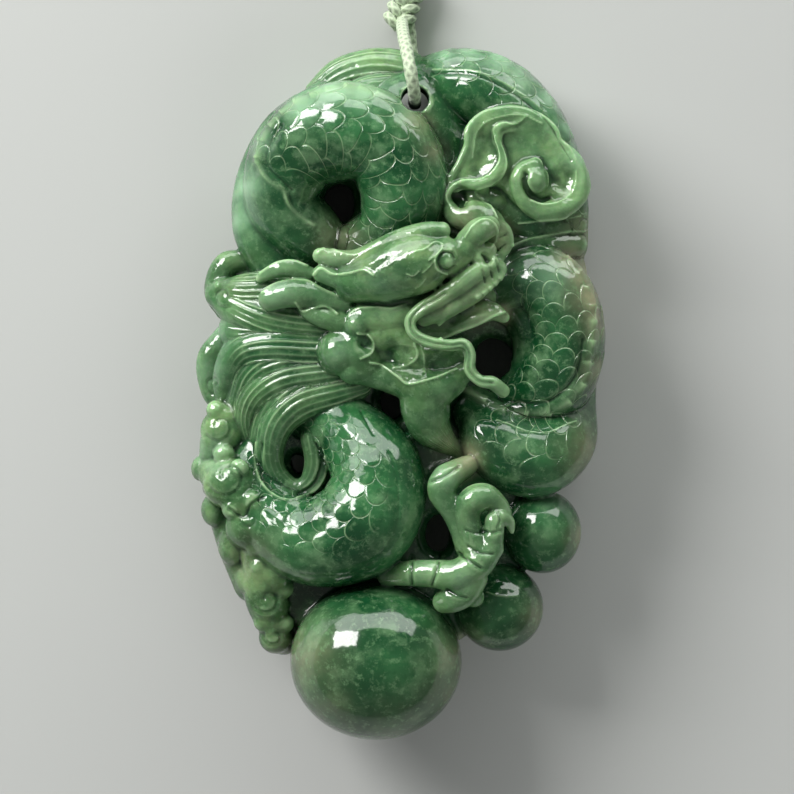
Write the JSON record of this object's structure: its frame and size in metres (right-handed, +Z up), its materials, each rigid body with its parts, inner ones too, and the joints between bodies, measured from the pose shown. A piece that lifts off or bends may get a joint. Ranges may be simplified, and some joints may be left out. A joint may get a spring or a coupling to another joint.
{
  "type": "jade dragon carving",
  "caption": "Hand-sized jade pendant carved in the round as a coiled dragon over pearls, drilled at the top and hung on a knotted braided cord.",
  "frame": {"origin": "on the surface that the pendant lies on, below the centre of the carving's own box, with the cord left out of it", "axes": "+Z up out of the carved face, +Y towards the drilled top end that the cord leaves, +X to the right as the face is seen from above"},
  "size_m": [0.0458, 0.1155, 0.0215],
  "materials": {
    "jade": "gloss",
    "braided_cord": "matte"
  },
  "bodies": {
    "root": {"jade_carving": "jade", "cord_bail": "braided_cord", "cord_knot": "braided_cord", "cord_lead_right": "braided_cord", "cord_lead_left": "braided_cord", "cord_coil": "braided_cord"}
  },
  "joints": []
}
